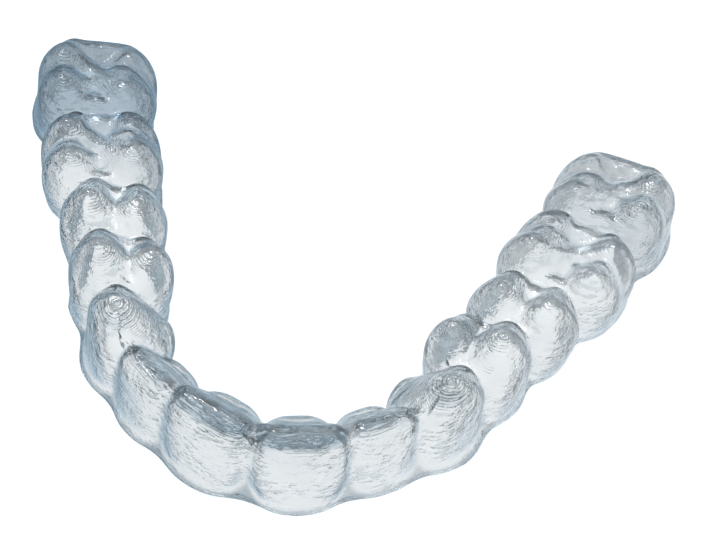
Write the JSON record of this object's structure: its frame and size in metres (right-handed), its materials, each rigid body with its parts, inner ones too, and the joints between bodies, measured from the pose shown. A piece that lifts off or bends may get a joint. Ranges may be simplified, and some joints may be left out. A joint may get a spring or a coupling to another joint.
{
  "type": "clear aligner",
  "caption": "Clear formed tray for an upper dental arch, with a pocket for each tooth and a trimmed gum edge, lying biting side up.",
  "frame": {"origin": "centre of the bounding box across the arch and from front to back, on the plane of the trimmed rim", "axes": "+Z towards the biting side, -Y towards the front teeth, +X across the arch to the right as seen from the front"},
  "size_m": [0.0678, 0.0518, 0.0102],
  "materials": {
    "clear_plastic": "clear, glossy, faintly blue at the edges"
  },
  "bodies": {
    "root": {"aligner_shell": "clear_plastic"}
  },
  "joints": []
}
